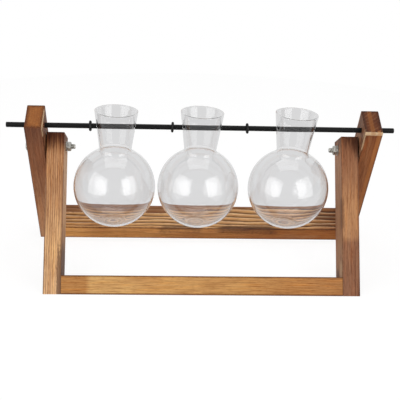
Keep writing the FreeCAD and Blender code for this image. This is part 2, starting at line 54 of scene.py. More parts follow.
# Sizes of the part that the frame doesn't state, as its source has them. Only the glass is drawn thinner
# than its solid, with a neck 1 mm wider across at its foot, which is how the photograph shows it.
FRONT_LEAN = math.radians(-29.3)
REAR_LEAN = math.radians(26.4)
BULB_RADIUS = 0.040
GLASS_WALL = 0.0011
BASE_WALL = 0.0022
BASE_RADIUS = 0.012
BASE_DIMPLE = 0.0015
RIM_ABOVE_CENTRE = 0.0773
MOUTH_RADIUS = 0.0208
NECK_BASE_RADIUS = 0.01525
NECK_BLEND = 0.005
HOLE_RADIUS = 0.004
HOLE_ABOVE_CENTRE = 0.0603
HANG_GAP = 0.0001
ROD_RADIUS = 0.0025
BOLT_RADIUS = 0.0025
VASE_LEANS = {"left": math.radians(1.9), "middle": math.radians(1.7), "right": math.radians(2.7)}

PIVOT = Vector(JOINTS["stand_fold"]["pos_m"])
ROD_AXIS = Vector(JOINTS["middle_vase_swing"]["pos_m"])

# The photograph's camera, in its own 400 by 400 frame.
IMAGE_SIZE = 400
FOCAL_PIXELS = 854.96
PRINCIPAL_POINT = (202.76, 200.66)
CAMERA_PLACE = Vector((-0.03986, -0.78876, 0.39832))
CAMERA_YAW = math.radians(-3.15)
CAMERA_PITCH = math.radians(22.97)
CAMERA_ROLL = math.radians(-1.93)
SENSOR_WIDTH = 36
NEAR_CLIP = 0.05


def srgb(red, green, blue):
    """A colour given by its 0 to 255 screen values, as the linear one that shaders take."""
    linear = []
    for level in (red, green, blue):
        share = level / 255
        linear.append(share / 12.92 if share <= 0.04045 else ((share + 0.055) / 1.055) ** 2.4)
    return (*linear, 1)


class Graph:
    """Short ways to add and join the nodes of one material or world."""

    def __init__(self, owner):
        owner.use_nodes = True
        self.tree = owner.node_tree
        self.tree.nodes.clear()

    def add(self, kind, inputs=(), **settings):
        node = self.tree.nodes.new("ShaderNode" + kind)
        for name, setting in settings.items():
            setattr(node, name, setting)
        for name, source in dict(inputs).items():
            self.feed(node.inputs[name], source)
        return node

    def feed(self, socket, source):
        if isinstance(source, bpy.types.NodeSocket):
            self.tree.links.new(source, socket)
        else:
            socket.default_value = source

    def math(self, operation, first, second=0.0, third=0.0):
        return self.add("Math", {0: first, 1: second, 2: third}, operation=operation).outputs[0]

    def dot(self, vector, direction):
        node = self.add("VectorMath", {0: vector, 1: tuple(direction)}, operation="DOT_PRODUCT")
        return node.outputs["Value"]

    def vector(self, x, y, z):
        return self.add("CombineXYZ", {"X": x, "Y": y, "Z": z}).outputs[0]

    def noise(self, vector, scale, detail, roughness=0.5):
        node = self.add("TexNoise", {"Vector": vector, "Scale": scale, "Detail": detail,
                                     "Roughness": roughness})
        return node.outputs["Fac"]

    def streaks(self, vector, scales, detail):
        """Noise that is drawn out by its own scale along each axis."""
        stretched = self.add("Mapping", {"Vector": vector, "Scale": scales}).outputs[0]
        return self.noise(stretched, 1.0, detail)

    def fit(self, source, low, high, to_low=0.0, to_high=1.0):
        node = self.add("MapRange", {"Value": source, "From Min": low, "From Max": high,
                                     "To Min": to_low, "To Max": to_high}, interpolation_type="SMOOTHSTEP")
        return node.outputs["Result"]

    def mix(self, factor, first, second, blend="MIX"):
        node = self.add("Mix", data_type="RGBA", blend_type=blend)
        self.feed(node.inputs[0], factor)
        self.feed(node.inputs[6], first)
        self.feed(node.inputs[7], second)
        return node.outputs[2]

    def ramp(self, factor, stops):
        node = self.add("ValToRGB", {"Fac": factor})
        elements = node.color_ramp.elements
        while len(elements) < len(stops):
            elements.new(0.5)
        for element, (place, colour) in zip(elements, stops):
            element.position = place
            element.color = colour
        return node.outputs["Color"]

    def surface(self, shader):
        self.add("OutputMaterial", {"Surface": shader})


def new_material(name):
    material = bpy.data.materials.new(name)
    return material, Graph(material)


def link_object(name, data):
    thing = bpy.data.objects.new(name, data)
    bpy.context.scene.collection.objects.link(thing)
    return thing


def mesh_object(name, shape):
    """A bmesh as an object in the scene."""
    mesh = bpy.data.meshes.new(name)
    shape.to_mesh(mesh)
    shape.free()
    return link_object(name, mesh)


def finish_piece(name, shape, material, body, replaced):
    """Turn a bmesh into a piece of the part: its finish, its body and the node it stands for."""
    bmesh.ops.recalc_face_normals(shape, faces=shape.faces)
    for face in shape.faces:
        face.smooth = True
    piece = mesh_object(name, shape)
    piece.data.materials.append(material)
    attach(piece, body)
    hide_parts(replaced)
    return piece


def cut_away(piece, shape, crossing=False):
    """Take a bmesh's space out of a piece; crossing says that the bmesh crosses itself."""
    cutter = mesh_object("cutter", shape)
    cut = piece.modifiers.new("cut", "BOOLEAN")
    cut.operation = "DIFFERENCE"
    cut.solver = "EXACT"
    cut.use_self = crossing
    cut.object = cutter
    piece.data = bpy.data.meshes.new_from_object(piece.evaluated_get(bpy.context.evaluated_depsgraph_get()))
    piece.modifiers.clear()
    bpy.data.objects.remove(cutter)


def turned_place(matrix, angle, radius, along):
    """A place at an angle and a radius round the matrix's Z axis, and at a height along it."""
    return matrix @ Vector((radius * math.cos(angle), radius * math.sin(angle), along))


def lathe(shape, profile, matrix, segments):
    """Turn a profile of (along, radius) points about the matrix's Z axis; radius 0 closes an end."""
    rings = []
    for along, radius in profile:
        if radius == 0:
            rings.append([shape.verts.new(matrix @ Vector((0, 0, along)))])
            continue
        ring = []
        for step in range(segments):
            angle = 2 * math.pi * step / segments
            ring.append(shape.verts.new(turned_place(matrix, angle, radius, along)))
        rings.append(ring)
    for low, high in zip(rings, rings[1:]):
        for step in range(segments):
            after = (step + 1) % segments
            corners = [low[step % len(low)], low[after % len(low)],
                       high[after % len(high)], high[step % len(high)]]
            shape.faces.new(list(dict.fromkeys(corners)))


# Camera, backdrop and lamps.

def make_camera():
    data = bpy.data.cameras.new("camera")
    data.sensor_width = SENSOR_WIDTH
    data.lens = FOCAL_PIXELS * SENSOR_WIDTH / IMAGE_SIZE
    data.shift_x = (IMAGE_SIZE / 2 - PRINCIPAL_POINT[0]) / IMAGE_SIZE
    data.shift_y = (PRINCIPAL_POINT[1] - IMAGE_SIZE / 2) / IMAGE_SIZE
    data.clip_start = NEAR_CLIP
    camera = link_object("camera", data)
    turn = (Matrix.Rotation(CAMERA_YAW, 3, "Z") @ Matrix.Rotation(-CAMERA_PITCH, 3, "X")
            @ Matrix.Rotation(CAMERA_ROLL, 3, "Y"))
    right, forward, up = turn.col
    facing = Matrix((right, up, -forward)).transposed().to_4x4()
    camera.matrix_world = Matrix.Translation(CAMERA_PLACE) @ facing
    bpy.context.scene.camera = camera


WHITE = (1, 1, 1, 1)
AMBIENT_LEVEL = 0.55
GLASS_BACKDROP_LEVEL = 0.82
HORIZON_LEVEL = 0.68
# Where the studio's darker horizon starts, is full, starts to clear and ends, as sines of the angle
# above level.
HORIZON_BAND = (-0.10, -0.02, 0.12, 0.34)
FLOOR_RADIUS = 0.75
FLOOR_SEGMENTS = 96
FLOOR_DROP = 0.0003
FLOOR_PAPER_LEVEL = 0.8
FLOOR_OWN_SHARE = 0.80
FLOOR_OWN_LEVEL = 1.09
GLASS_FLOOR_LEVEL = 0.71
SUBJECT = Vector((0, 0, 0.09))
# Each lamp's name, place, width and height, and radiance.
SOFTBOXES = (
    ("left_softbox", (-0.89, -0.74, 0.36), (1.15, 1.35), 1.25),
    ("right_softbox", (0.83, -0.80, 0.40), (0.95, 1.15), 1.40),
    ("top_softbox", (0.0, 0.10, 1.30), (1.10, 0.90), 1.05),
)
GLINT_PANELS = (
    ("left_glint_panel", (-1.02, -0.76, 0.45), (1.32, 1.08), 0.95),
    ("right_glint_panel", (0.80, -0.82, 0.48), (0.93, 1.28), 0.97),
)
GLINT_EDGE_SHARE = 0.15
# Across each panel and up it, where its light starts, is full, starts to fade and ends.
GLINT_FADES = (
    ((0.0, 0.85, 0.97, 1.0), (0.0, 0.3, 0.85, 1.0)),
    ((0.0, 0.15, 0.3, 1.05), (0.0, 0.3, 0.75, 1.0)),
)


def grey(level):
    return (level, level, level, 1)


def make_world():
    """White to the camera, an even level that lights the part, and a soft grey studio in the glass."""
    world = bpy.data.worlds.new("studio")
    bpy.context.scene.world = world
    graph = Graph(world)
    path = graph.add("LightPath").outputs
    height = graph.add("SeparateXYZ", {0: graph.add("TexCoord").outputs["Generated"]}).outputs["Z"]
    low, dark_low, dark_high, high = HORIZON_BAND
    below = graph.fit(height, low, dark_low, 1, 0)
    above = graph.fit(height, dark_high, high, 0, 1)
    clear = graph.math("MAXIMUM", below, above)
    studio = graph.mix(clear, grey(HORIZON_LEVEL), grey(GLASS_BACKDROP_LEVEL))
    in_glass = graph.math("MAXIMUM", path["Is Glossy Ray"], path["Is Transmission Ray"])
    around = graph.mix(in_glass, grey(AMBIENT_LEVEL), studio)
    colour = graph.mix(path["Is Camera Ray"], around, WHITE)
    background = graph.add("Background", {"Color": colour, "Strength": 1.0})
    graph.add("OutputWorld", {"Surface": background.outputs[0]})


def make_floor():
    """A pale floor that is white to the camera and grey in the glass, and keeps a faint shadow."""
    shape = bmesh.new()
    bmesh.ops.create_circle(shape, cap_ends=True, segments=FLOOR_SEGMENTS, radius=FLOOR_RADIUS,
                            matrix=Matrix.Translation((0, 0, -FLOOR_DROP)))
    floor = mesh_object("floor", shape)
    material, graph = new_material("floor_paper")
    floor.data.materials.append(material)
    path = graph.add("LightPath").outputs
    in_glass = graph.math("MAXIMUM", path["Is Glossy Ray"], path["Is Transmission Ray"])
    seen = graph.math("MAXIMUM", path["Is Camera Ray"], in_glass)
    paper = graph.add("BsdfDiffuse", {"Color": grey(FLOOR_PAPER_LEVEL)}).outputs[0]
    level = graph.mix(in_glass, grey(FLOOR_OWN_LEVEL), grey(GLASS_FLOOR_LEVEL))
    glow = graph.add("Emission", {"Color": level, "Strength": 1.0}).outputs[0]
    share = graph.math("MULTIPLY", seen, FLOOR_OWN_SHARE)
    graph.surface(graph.add("MixShader", {0: share, 1: paper, 2: glow}).outputs[0])


def add_lamp(name, place, size, radiance):
    data = bpy.data.lights.new(name, "AREA")
    data.shape = "RECTANGLE"
    data.size, data.size_y = size
    data.energy = math.pi * size[0] * size[1] * radiance
    lamp = link_object(name, data)
    lamp.location = place
    lamp.rotation_euler = (SUBJECT - lamp.location).to_track_quat("-Z", "Y").to_euler()
    return lamp


def make_lamps():
    """Softboxes light the part; two more panels show only as glints in the glass and metal."""
    for softbox in SOFTBOXES:
        add_lamp(*softbox)
    for panel, fades in zip(GLINT_PANELS, GLINT_FADES):
        lamp = add_lamp(*panel)
        lamp.visible_diffuse = False
        graph = Graph(lamp.data)
        spot = graph.add("SeparateXYZ", {0: graph.add("NewGeometry").outputs["Parametric"]}).outputs
        strength = 1.0
        for side, (start, full, fade, end) in zip(("X", "Y"), fades):
            rise = graph.fit(spot[side], start, full, GLINT_EDGE_SHARE, 1.0)
            strength = graph.math("MULTIPLY", strength, rise)
            fall = graph.fit(spot[side], fade, end, 1.0, GLINT_EDGE_SHARE)
            strength = graph.math("MULTIPLY", strength, fall)
        glow = graph.add("Emission", {"Color": WHITE, "Strength": strength}).outputs[0]
        graph.add("OutputLight", {"Surface": glow})


# Wood.

# Each noise in the wood: its scales, per millimetre, along, across and through a stick, what it adds to
# the stick's own seed, its detail and its roughness.
WOOD_NOISES = {
    "slow": ((0.009, 0.03, 0.03), 0, 2.0, 0.5),
    "ripple": ((0.03, 0.2, 0.2), 3, 3.0, 0.5),
    "fibre": ((0.045, 1.25, 1.25), 0, 3.0, 0.6),
    "thread": ((0.03, 0.55, 0.55), 5, 2.0, 0.5),
    "tick": ((0.20, 1.7, 1.7), 8, 1.0, 0.5),
    "blotch": ((0.022, 0.07, 0.07), 11, 3.0, 0.5),
    "speck": ((0.35, 0.9, 0.9), 13, 2.0, 0.5),
}
SEED_STEP = 17.3
RIPPLE_SHARE = 0.25
# Through one growth ring: how dark its late wood is, and how pale the wood beside that.
LATE_STOPS = ((0, 0), (0.4, 0.1), (0.7, 0.6), (0.84, 1), (0.93, 0.9), (1, 0))
PALE_STOPS = ((0, 1), (0.12, 0.9), (0.3, 0), (0.9, 0), (1, 1))
YEAR_REACH = 0.7
YEAR_LEAST = 0.5
SIDE_FACING = (0.5, 0.85)
END_FACING = (0.6, 0.85)
END_RINGS = 0.14
# The levels between which each noise comes in, and the tone that it brings.
FIBRE_LEVELS = (0.40, 0.75)
FIBRE_TONE = srgb(176, 140, 112)
THREAD_LEVELS = (0.48, 0.75)
THREAD_TONE = srgb(236, 200, 156)
THREAD_SHARE = 0.6
TICK_LEVELS = (0.54, 0.66)
TICK_TONE = srgb(150, 112, 90)
BLOTCH_LEVELS = (0.45, 0.75)
BLOTCH_TONE = srgb(186, 144, 120)
# Scorched edges and ends, and ragged marks, with lengths in millimetres.
SCORCH_TONE = srgb(118, 78, 58)
EDGE_START = -0.9
EDGE_SPECKS = 1.6
CORNER_SHARE = 0.3
TOP_START = 2.0
TOP_RAGGEDNESS = 16.0
MARK_FLECKS = 1.6
MARK_RAGGEDNESS = 0.9
MARK_FADE = (0.95, 1.55)
RING_RELIEF = -0.5
FIBRE_RELIEF = 0.6


def millimetres(graph, origin, axes):
    """Shader sockets that measure along, across and through a stick from its middle, in millimetres."""
    place = graph.add("TexCoord").outputs["Object"]
    place = graph.add("VectorMath", {0: place, 1: tuple(origin)}, operation="SUBTRACT").outputs[0]
    return [graph.math("MULTIPLY", graph.dot(place, axis), 1000) for axis in axes]


def wood_noise(graph, spot, name, seed):
    """One of the wood's noises, shifted along the stick by its seed."""
    scales, step, detail, roughness = WOOD_NOISES[name]
    scaled = [graph.math("MULTIPLY", distance, scale) for distance, scale in zip(spot, scales)]
    scaled[0] = graph.math("ADD", scaled[0], (seed + step) * SEED_STEP)
    return graph.noise(graph.vector(*scaled), 1.0, detail, roughness)


def tint(graph, factor, colour, shade):
    """Deepen a colour by a shade, as far as the factor says."""
    return graph.mix(factor, colour, graph.mix(1.0, colour, shade, "MULTIPLY"))


def growth_rings(graph, spot, look):
    """Late wood's dark lines and the pale lines beside them, from circles about the tree's middle."""
    wide, deep = spot[1:]
    slow = wood_noise(graph, spot, "slow", look["seed"])
    ripple = wood_noise(graph, spot, "ripple", look["seed"])
    side = graph.math("SUBTRACT", wide, look["pith"][0])
    back = graph.math("SUBTRACT", deep, look["pith"][1])
    reach = graph.math("SQRT", graph.math("ADD", graph.math("MULTIPLY", side, side),
                                          graph.math("MULTIPLY", back, back)))
    reach = graph.math("MULTIPLY_ADD", slow, look["bend"], reach)
    reach = graph.math("MULTIPLY_ADD", ripple, look["bend"] * RIPPLE_SHARE, reach)
    rings = graph.math("DIVIDE", reach, look["ring_width"])
    count = graph.math("FLOOR", rings)
    year = graph.add("TexWhiteNoise", {"W": count}, noise_dimensions="1D").outputs["Value"]
    phase = graph.math("FRACT", rings)
    late = graph.ramp(phase, [(place, grey(level)) for place, level in LATE_STOPS])
    pale = graph.ramp(phase, [(place, grey(level)) for place, level in PALE_STOPS])
    late = graph.math("MULTIPLY", late, graph.math("MULTIPLY_ADD", year, YEAR_REACH, YEAR_LEAST))
    return late, graph.math("MULTIPLY", pale, year)


def mark_mask(graph, spot, ragged, centre, reach):
    """A patch with ragged edges, for wear, scorching and painted shade; a reach of 0 leaves that direction
    free.
    """
    inside = None
    for distance, middle, half in zip(spot, centre, reach):
        if half == 0:
            continue
        away = graph.math("ABSOLUTE", graph.math("SUBTRACT", distance, middle))
        share = graph.math("DIVIDE", away, half)
        inside = share if inside is None else graph.math("MAXIMUM", inside, share)
    inside = graph.math("MULTIPLY_ADD", ragged, MARK_RAGGEDNESS, inside)
    return graph.fit(inside, *MARK_FADE, 1.0, 0.0)


def wood_material(name, origin, axes, half_sizes, look):
    """Scorched and brushed pine for one stick."""
    material, graph = new_material(name)
    spot = millimetres(graph, origin, axes)
    run, wide, deep = spot
    half_run, half_wide, half_deep = (size * 1000 for size in half_sizes)
    facing = graph.add("TexCoord").outputs["Normal"]
    on_side = graph.fit(graph.math("ABSOLUTE", graph.dot(facing, axes[1])), *SIDE_FACING)
    on_end = graph.fit(graph.math("ABSOLUTE", graph.dot(facing, axes[0])), *END_FACING)

    late, pale = growth_rings(graph, spot, look)
    fibre, thread, tick, blotch, speck = [
        wood_noise(graph, spot, noise_name, look["seed"])
        for noise_name in ("fibre", "thread", "tick", "blotch", "speck")]

    share = graph.math("DIVIDE", graph.math("ADD", run, half_run), 2 * half_run)
    front = graph.ramp(share, look["tones"])
    colour = graph.mix(on_side, front, graph.ramp(share, look["side_tones"]))
    colour = graph.mix(on_end, colour, look["end_tone"])
    strength = graph.math("MULTIPLY_ADD", on_side, look["side_rings"] - look["rings"], look["rings"])
    strength = graph.math("MULTIPLY_ADD", on_end, END_RINGS - look["rings"], strength)
    colour = graph.mix(graph.math("MULTIPLY", pale, strength), colour, look["pale_tone"])
    colour = tint(graph, graph.math("MULTIPLY", late, strength), colour, look["late_tone"])
    colour = tint(graph, graph.fit(fibre, *FIBRE_LEVELS, 0.0, look["fibres"]), colour, FIBRE_TONE)
    pull = graph.fit(thread, *THREAD_LEVELS, 0.0, look["fibres"] * THREAD_SHARE)
    colour = graph.mix(pull, colour, THREAD_TONE, "SOFT_LIGHT")
    tick = graph.math("MULTIPLY", graph.fit(tick, *TICK_LEVELS), look["ticks"])
    colour = tint(graph, tick, colour, TICK_TONE)
    colour = tint(graph, graph.fit(blotch, *BLOTCH_LEVELS, 0.0, look["blotches"]), colour, BLOTCH_TONE)

    # Scorched long edges and ends, by the distance from the stick's nearest edge.
    to_side = graph.math("SUBTRACT", half_wide, graph.math("ABSOLUTE", wide))
    to_back = graph.math("SUBTRACT", half_deep, graph.math("ABSOLUTE", deep))
    edge = graph.math("MAXIMUM", to_side, to_back)
    corner = graph.math("MINIMUM", to_side, to_back)
    on_rim = graph.math("MULTIPLY_ADD", corner, CORNER_SHARE, graph.math("MULTIPLY", edge, -1))
    edge = graph.math("MULTIPLY_ADD", on_end, on_rim, edge)
    edge = graph.math("MULTIPLY_ADD", speck, -EDGE_SPECKS, edge)
    burn = graph.fit(edge, EDGE_START, look["edge_reach"], look["edge_burn"], 0.0)
    ragged = graph.math("MULTIPLY", graph.math("SUBTRACT", thread, 0.5), 2.0)
    to_top = graph.math("SUBTRACT", half_run, run)
    to_top = graph.math("MULTIPLY_ADD", ragged, TOP_RAGGEDNESS, to_top)
    scorch = graph.fit(to_top, TOP_START, look["top_reach"], look["top_burn"], 0.0)
    colour = tint(graph, graph.math("MAXIMUM", burn, scorch), colour, SCORCH_TONE)
    flecks = graph.math("MULTIPLY", graph.math("SUBTRACT", speck, 0.5), MARK_FLECKS)
    ragged = graph.math("MULTIPLY", graph.math("ADD", ragged, flecks), 0.5)
    for tone, strength, centre, reach in look["marks"]:
        mask = mark_mask(graph, spot, ragged, centre, reach)
        colour = graph.mix(graph.math("MULTIPLY", mask, strength), colour, tone)

    relief = graph.math("MULTIPLY", fibre, FIBRE_RELIEF)
    relief = graph.math("MULTIPLY_ADD", late, RING_RELIEF, relief)
    bump = graph.add("Bump", {"Strength": 0.30, "Distance": 0.0004, "Height": relief}).outputs[0]
    rough = graph.fit(fibre, 0.3, 0.8, 0.52, 0.68)
    shader = graph.add("BsdfPrincipled", {"Base Color": colour, "Roughness": rough, "Normal": bump,
                                          "Specular IOR Level": 0.18})
    graph.surface(shader.outputs[0])
    return material


CREAM = srgb(222, 190, 150)
# Dark tones for scorching; on the right post's outer front edge they also paint the shade of the gap beside
# the arm.
CHAR_AND_SHADE = srgb(70, 42, 28)
SOOT_AND_SHADE = srgb(92, 62, 46)
UMBER = srgb(120, 80, 50)

# What a stick has where its own look says nothing else.
PLAIN_LOOK = {
    "end_tone": srgb(140, 92, 58), "pale_tone": srgb(226, 186, 140), "late_tone": srgb(150, 108, 78),
    "edge_reach": 0.6, "top_burn": 0.0, "top_reach": 15.0,
}

# Lengths are in millimetres from a stick's middle, along, across and through it. tones run along its front
# from its foot or left end, and side_tones along its sides, a rail's being its top and its underside. rings
# and side_rings say how strongly the growth rings show there, ring_width how wide they are, pith where their
# centre lies and bend how far they wander. A mark has a tone, a strength, a centre and a reach each way.
WOOD_LOOKS = {
    "front_left_post": {
        "tones": ((0, srgb(234, 190, 143)), (0.3, srgb(227, 182, 132)), (0.55, srgb(198, 150, 106)),
                  (0.85, srgb(191, 140, 96)), (1, srgb(168, 108, 62))),
        "side_tones": ((0, srgb(124, 88, 64)), (0.25, srgb(134, 98, 74)), (0.45, srgb(208, 168, 132)),
                       (1, srgb(218, 178, 140))),
        "end_tone": srgb(132, 80, 50), "rings": 0.6, "side_rings": 0.3, "ring_width": 2.0, "bend": 3.0,
        "pith": (56, -32), "seed": 1.3, "fibres": 0.75, "ticks": 0.35, "blotches": 0.2, "edge_burn": 0.5,
        "top_burn": 0.92, "top_reach": 23.0,
        "marks": ((SOOT_AND_SHADE, 0.45, (-30, -8.4, -15.5), (60, 0.9, 3)), (SOOT_AND_SHADE, 0.35, (0, 8.4, -15.5), (30, 0.8, 3)),
                  (SOOT_AND_SHADE, 0.75, (-75, 8.4, 0), (34, 3, 18))),
    },
    "front_right_post": {
        "tones": ((0, srgb(142, 97, 71)), (0.33, srgb(146, 101, 73)), (0.37, srgb(184, 136, 95)),
                  (0.55, srgb(184, 133, 90)), (0.75, srgb(158, 109, 75)), (1, srgb(148, 98, 66))),
        "side_tones": ((0, srgb(150, 108, 78)), (0.3, srgb(165, 120, 86)), (0.6, srgb(160, 116, 86)),
                       (1, srgb(176, 130, 98))),
        "end_tone": srgb(128, 80, 52), "rings": 0.12, "side_rings": 0.3, "ring_width": 3.2, "bend": 7.0,
        "pith": (-44, -26), "seed": 4.1, "fibres": 0.6, "ticks": 0.35, "blotches": 0.45, "edge_burn": 0.7,
        "top_burn": 0.75, "top_reach": 13.0,
        # The second and third marks darken the outer front edge, most at its top: a scorched edge, and
        # painted shade of the gap beside the arm.
        "marks": ((SOOT_AND_SHADE, 0.55, (2, -8.4, -15.5), (12, 1.8, 5)), (SOOT_AND_SHADE, 0.35, (20, 8.4, -15.5), (0, 1.0, 3)),
                  (CHAR_AND_SHADE, 0.55, (72, 8.4, -15.5), (12, 2.4, 6)), (CHAR_AND_SHADE, 0.6, (-64, -8.4, 6), (10, 3, 5)),
                  (CREAM, 0.35, (-62, -8.4, -8), (14, 3, 4))),
    },
    "rear_left_arm": {
        "tones": ((0, srgb(196, 148, 110)), (0.4, srgb(174, 124, 88)), (0.7, srgb(146, 98, 68)),
                  (0.93, srgb(120, 76, 52)), (1, srgb(114, 71, 50))),
        "side_tones": ((0, srgb(150, 108, 80)), (0.6, srgb(146, 102, 74)), (1, srgb(120, 78, 50))),
        "end_tone": srgb(160, 100, 48), "rings": 0.25, "side_rings": 0.4, "ring_width": 3.0, "bend": 7.0,
        "pale_tone": srgb(176, 124, 84), "pith": (-52, 4), "seed": 2.2, "fibres": 0.5, "ticks": 0.3,
        "blotches": 0.35, "edge_burn": 0.85,
        "marks": ((CREAM, 0.6, (81.2, 8.4, -4), (0.9, 0.6, 11)),
                  (CREAM, 0.45, (76, 8.4, -15.5), (5, 0.6, 0.8)), (SOOT_AND_SHADE, 0.4, (66, 8.4, -4), (6, 0.9, 5))),
    },
    "rear_right_arm": {
        "tones": ((0, srgb(176, 124, 90)), (0.45, srgb(162, 108, 68)), (0.7, srgb(146, 91, 52)),
                  (0.93, srgb(136, 80, 42)), (1, srgb(128, 74, 40))),
        "side_tones": ((0, srgb(176, 132, 100)), (0.6, srgb(176, 130, 98)), (1, srgb(150, 104, 74))),
        "end_tone": srgb(108, 60, 30), "rings": 0.12, "side_rings": 0.4, "ring_width": 3.8, "bend": 9.0,
        "pith": (-22, 27), "seed": 6.6, "fibres": 0.6, "ticks": 0.3, "blotches": 0.45, "edge_burn": 0.8,
        "marks": ((CREAM, 0.75, (80.8, 0, -15.5), (1.3, 9.5, 1.6)),
                  (srgb(160, 98, 46), 0.4, (82, -1, 0), (2, 1.6, 17)),
                  (CREAM, 0.6, (70, -8.4, -14.6), (8, 0.9, 0.7)),
                  (CREAM, 0.5, (76, -8.4, -11), (4, 0.9, 0.6)),
                  (CHAR_AND_SHADE, 0.7, (68, -8.4, -12.6), (9, 0.9, 0.8)), (CHAR_AND_SHADE, 0.6, (62, -8.4, -8), (8, 0.9, 1.2)),
                  (srgb(186, 118, 60), 0.45, (20, 5, -15.5), (60, 1.4, 3)),
                  (CHAR_AND_SHADE, 0.5, (78, -8.4, 2), (10, 2, 9))),
    },
    "front_rail": {
        "tones": ((0, srgb(189, 134, 75)), (0.085, srgb(186, 131, 73)), (0.105, srgb(218, 172, 109)),
                  (0.35, srgb(213, 163, 100)), (0.6, srgb(204, 153, 91)), (0.8, srgb(190, 134, 75)),
                  (1, srgb(179, 124, 71))),
        "side_tones": ((0, srgb(150, 104, 64)), (1, srgb(140, 92, 54))),
        "rings": 0.12, "side_rings": 0.4, "ring_width": 1.7, "bend": 4.0, "pith": (42, -40), "seed": 3.3,
        "fibres": 0.7, "ticks": 0.25, "blotches": 0.35, "edge_burn": 1.0, "edge_reach": 1.2,
        "marks": ((UMBER, 0.5, (0, -9, 0), (0, 1.1, 0)), (UMBER, 0.4, (0, 9, 0), (0, 0.8, 0))),
    },
    "rear_rail": {
        "tones": ((0, srgb(224, 165, 96)), (0.35, srgb(212, 151, 87)), (0.7, srgb(184, 120, 65)),
                  (1, srgb(166, 102, 50))),
        "side_tones": ((0, srgb(212, 158, 98)), (0.5, srgb(216, 166, 110)), (0.85, srgb(210, 156, 98)),
                       (1, srgb(138, 86, 50))),
        "rings": 0.3, "side_rings": 1.0, "ring_width": 4.1, "bend": 11.0, "pith": (-8, 25), "seed": 8.4,
        "pale_tone": srgb(246, 214, 172), "late_tone": srgb(76, 40, 20),
        "fibres": 0.6, "ticks": 0.25, "blotches": 0.3, "edge_burn": 0.85, "edge_reach": 0.9,
        "marks": ((srgb(126, 78, 46), 0.8, (-85, 8.5, 12.5), (75, 6, 6.0)),
                  (srgb(140, 90, 50), 0.6, (60, 8.5, 14.6), (75, 6, 3.0)),
                  (CHAR_AND_SHADE, 0.45, (138, 8.5, 2), (9, 6, 3)), (CHAR_AND_SHADE, 0.5, (132, 8.5, -9), (9, 6, 1.2)),
                  (CHAR_AND_SHADE, 0.6, (-20, 8.5, -13.5), (16, 6, 1.6)), (CHAR_AND_SHADE, 0.7, (52, 8.5, -13.5), (22, 6, 1.6))),
    },
}


FRONT_FACE_DEPTH = 0.002


def stick_axes(lean):
    """Directions along, across and through a stick that leans by an angle about X."""
    along = Vector((0, -math.sin(lean), math.cos(lean)))
    return along, Vector((1, 0, 0)), Vector((0, math.cos(lean), math.sin(lean)))


def measure(node, axes):
    """Middle and half sizes of a CAD node along its own axes, at its front face."""
    corners = [vertex.co for vertex in frame["nodes"][node].data.vertices]
    nearest = min(corner.dot(axes[2]) for corner in corners)
    front = [corner for corner in corners if corner.dot(axes[2]) < nearest + FRONT_FACE_DEPTH]
    centre = Vector()
    half_sizes = []
    for axis, group in zip(axes, (front, front, corners)):
        reach = [corner.dot(axis) for corner in group]
        centre += axis * (min(reach) + max(reach)) / 2
        half_sizes.append((max(reach) - min(reach)) / 2)
    return centre, half_sizes


def dress_node(node, material):
    mesh = frame["nodes"][node].data
    mesh.materials.clear()
    mesh.materials.append(material)


def dress_wood():
    for node, own_look in WOOD_LOOKS.items():
        look = {**PLAIN_LOOK, **own_look}
        lean = FRONT_LEAN if node.startswith("front") else REAR_LEAN
        along, across, through = stick_axes(lean)
        axes = (across, along, through) if node.endswith("rail") else (along, across, through)
        origin, half_sizes = measure(node, axes)
        dress_node(node, wood_material(node + "_wood", origin, axes, half_sizes, look))


# Glass.

GLASS_SEGMENTS = 160
# Light is bent at the first four surfaces that it meets, or three in the necks, and then goes straight on.
# The first surface has depth 0.
LAST_BENT_DEPTH = 3
# The necks start at this height above the table.
NECK_LEVEL = 0.118
WAVE_SCALE = 55.0
WAVE_DETAIL = 1.5
TURNING_SCALES = (9, 9, 330)
TURNING_SHARE = 0.12
ARC_STEPS = 36
DOME_STEPS = 6
BLEND_STEPS = 8
NECK_STEPS = 26
RIM_STEPS = 6
HOLE_SEGMENTS = 72
HOLE_BEVEL = 0.00025
HOLE_EDGE_ANGLE = math.radians(50)
UNEVEN_DEPTH = 0.00022
UNEVEN_SCALE = 45
UNEVEN_SEED_STEP = 3.7


def glass_material():
    """Clear blown glass with faint waves in its wall; shadow rays and rays long caught go straight on."""
    material, graph = new_material("clear_blown_glass")
    place = graph.add("TexCoord").outputs["Object"]
    waves = graph.noise(place, WAVE_SCALE, WAVE_DETAIL)
    relief = graph.math("MULTIPLY_ADD", graph.streaks(place, TURNING_SCALES, 1.0), TURNING_SHARE, waves)
    bump = graph.add("Bump", {"Strength": 0.10, "Distance": 0.0006, "Height": relief}).outputs[0]
    glass = graph.add("BsdfPrincipled", {"Base Color": (0.995, 0.995, 1, 1), "Roughness": 0.02, "IOR": 1.47,
                                         "Transmission Weight": 1.0, "Normal": bump}).outputs[0]
    clear = graph.add("BsdfTransparent", {"Color": WHITE}).outputs[0]
    path = graph.add("LightPath").outputs
    height = graph.add("SeparateXYZ", {0: place}).outputs["Z"]
    in_neck = graph.math("GREATER_THAN", height, NECK_LEVEL)
    turns = graph.math("ADD", path["Ray Depth"], in_neck)
    caught = graph.math("GREATER_THAN", turns, LAST_BENT_DEPTH)
    lets_through = graph.math("MAXIMUM", path["Is Shadow Ray"], caught)
    graph.surface(graph.add("MixShader", {0: lets_through, 1: glass, 2: clear}).outputs[0])
    return material


def arc_points(centre, radius, start, end, steps):
    """Points on an arc of a half section, by angles from the level."""
    points = []
    for step in range(steps + 1):
        angle = start + (end - start) * step / steps
        points.append((centre[1] + radius * math.sin(angle), centre[0] + radius * math.cos(angle)))
    return points


